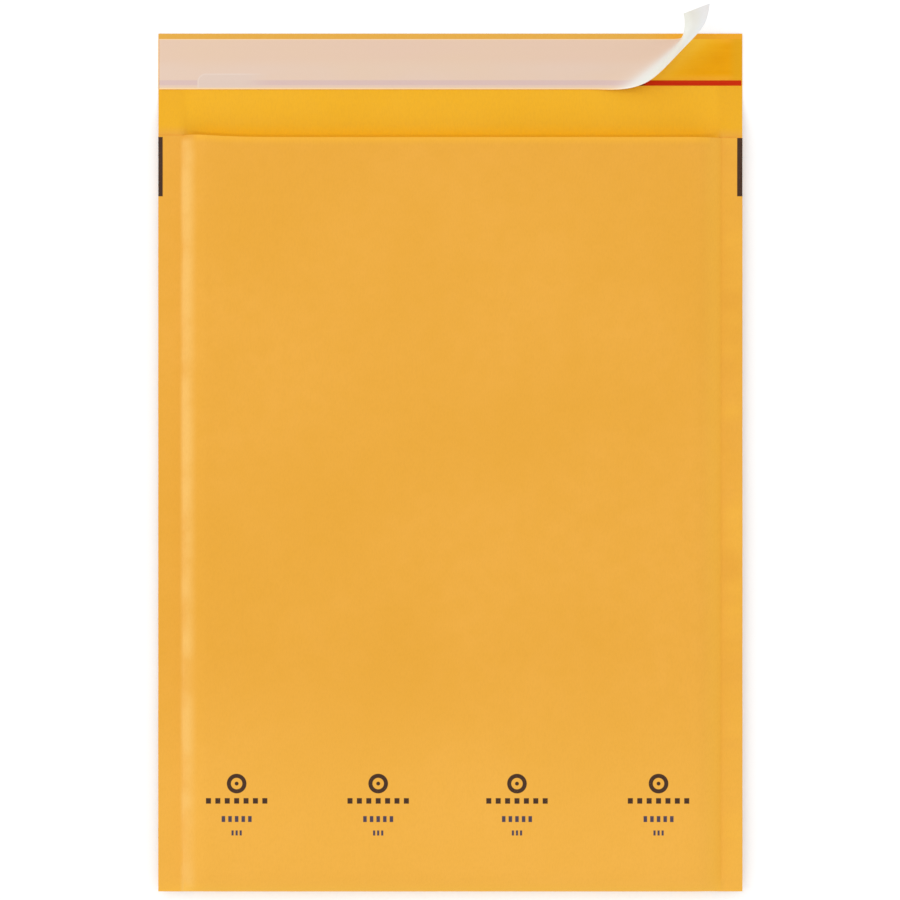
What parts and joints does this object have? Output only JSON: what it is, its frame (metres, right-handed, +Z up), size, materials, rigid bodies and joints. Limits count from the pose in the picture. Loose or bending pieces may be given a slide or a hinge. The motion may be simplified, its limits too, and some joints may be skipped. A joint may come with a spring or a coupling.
{
  "type": "padded envelope",
  "caption": "Flat padded mailing envelope in kraft paper with bubble film lining, side seals, folded bottom, open flap, adhesive strip, red tear tape and a partly peeled release liner",
  "frame": {"origin": "On the table under the middle of the sheet of paper, flap included", "axes": "+X to the right across the envelope, +Y from the folded bottom toward the flap, +Z up out of the front panel; the envelope lies on its back with its flap open"},
  "size_m": [0.277, 0.4126, 0.045],
  "materials": {
    "kraft_paper": "smooth golden kraft paper, matte",
    "bubble_film": "clear to milky bubble film",
    "adhesive": "clear glossy hot-melt adhesive over kraft paper",
    "tear_tape": "narrow red film ribbon",
    "release_film": "milky release film with a soft sheen"
  },
  "bodies": {
    "root": {"outer_envelope": "kraft_paper", "bubble_lining": "bubble_film", "adhesive_strip": "adhesive", "tear_tape": "tear_tape", "release_liner": "release_film"}
  },
  "joints": []
}
